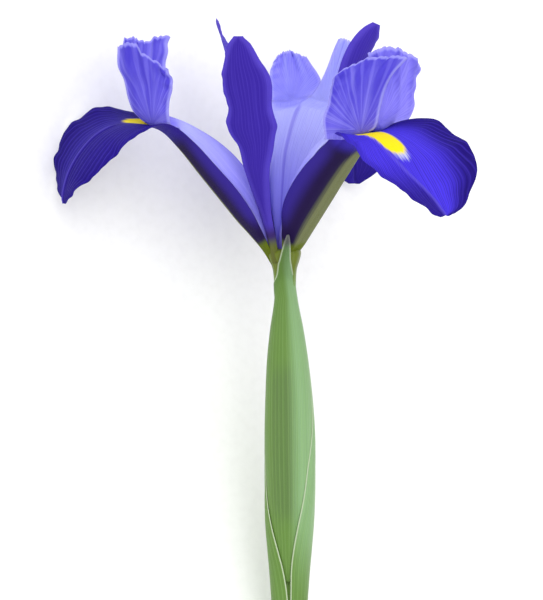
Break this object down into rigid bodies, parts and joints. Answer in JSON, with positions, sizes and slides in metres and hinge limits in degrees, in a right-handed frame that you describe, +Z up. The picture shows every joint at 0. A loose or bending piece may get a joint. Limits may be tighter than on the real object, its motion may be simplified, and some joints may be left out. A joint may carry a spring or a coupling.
{
  "type": "iris flower",
  "caption": "Cut blue iris flower lying on its side, with drooping falls, upright standards, crested style branches, green sheath and a short stem.",
  "frame": {"origin": "middle of the lying flower's box, on the surface it lies on", "axes": "+Z up from the surface; the stem and the flower's axis run along +Y, from the cut end towards the petals, with the head a little raised; +X across"},
  "size_m": [0.103, 0.1766, 0.0944],
  "materials": {
    "fall_petal": "satin",
    "standard_petal": "satin",
    "style_petal": "satin",
    "stamen": "matte",
    "floral_tube": "satin",
    "spathe_leaf": "satin",
    "stem": "satin"
  },
  "bodies": {
    "root": {"fall_left": "fall_petal", "fall_right": "fall_petal", "fall_back": "fall_petal", "standard_front": "standard_petal", "standard_right": "standard_petal", "standard_left": "standard_petal", "style_branch_left": "style_petal", "style_branch_right": "style_petal", "style_branch_back": "style_petal", "stamen_left": "stamen", "stamen_right": "stamen", "stamen_back": "stamen", "floral_tube": "floral_tube", "spathe_outer": "spathe_leaf", "spathe_inner": "spathe_leaf", "stem": "stem"}
  },
  "joints": []
}
